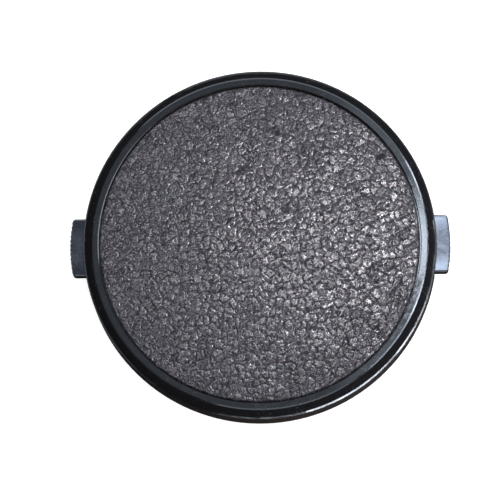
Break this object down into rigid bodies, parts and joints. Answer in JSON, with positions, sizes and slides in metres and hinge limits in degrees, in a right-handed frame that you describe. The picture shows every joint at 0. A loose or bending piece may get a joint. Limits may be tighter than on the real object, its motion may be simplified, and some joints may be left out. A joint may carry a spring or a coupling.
{
  "type": "camera lens cap",
  "caption": "Round clip-on camera lens cap with a bevelled rim, a sunken pebbled leatherette face and sprung side tabs whose toothed jaws grip the lens filter thread.",
  "frame": {"origin": "on the cap's axis, in the plane of the plug ring's lower edge that the cap rests on", "axes": "+Z along the cap's axis, out of the leatherette face; +X along the two finger tabs, towards the right one; +Y across them"},
  "size_m": [0.0624, 0.058, 0.0093],
  "materials": {
    "body_plastic": "moulded black plastic, satin gloss, worn at the rim's edges",
    "leatherette": "pebbled grey-black leatherette with dark creases and worn, shiny tops",
    "cover_plastic": "fine matt black plastic",
    "latch_plastic": "moulded black plastic, rubbed smooth by fingers",
    "spring_steel": "drawn spring wire"
  },
  "bodies": {
    "cap": {"cap_body": "body_plastic", "leatherette_disc": "leatherette", "back_cover": "cover_plastic", "left_spring": "spring_steel", "right_spring": "spring_steel"},
    "left_latch": {"left_latch": "latch_plastic"},
    "right_latch": {"right_latch": "latch_plastic"}
  },
  "joints": [
    {"name": "left_latch_slide", "type": "slide", "parent": "cap", "child": "left_latch", "axis": [1, 0, 0], "range_m": [0, 0.0018], "stiffness_N_per_m": 700, "springref_m": -0.0015, "deforming": ["left_spring"]},
    {"name": "right_latch_slide", "type": "slide", "parent": "cap", "child": "right_latch", "axis": [-1, 0, 0], "range_m": [0, 0.0018], "stiffness_N_per_m": 700, "springref_m": -0.0015, "deforming": ["right_spring"]}
  ]
}
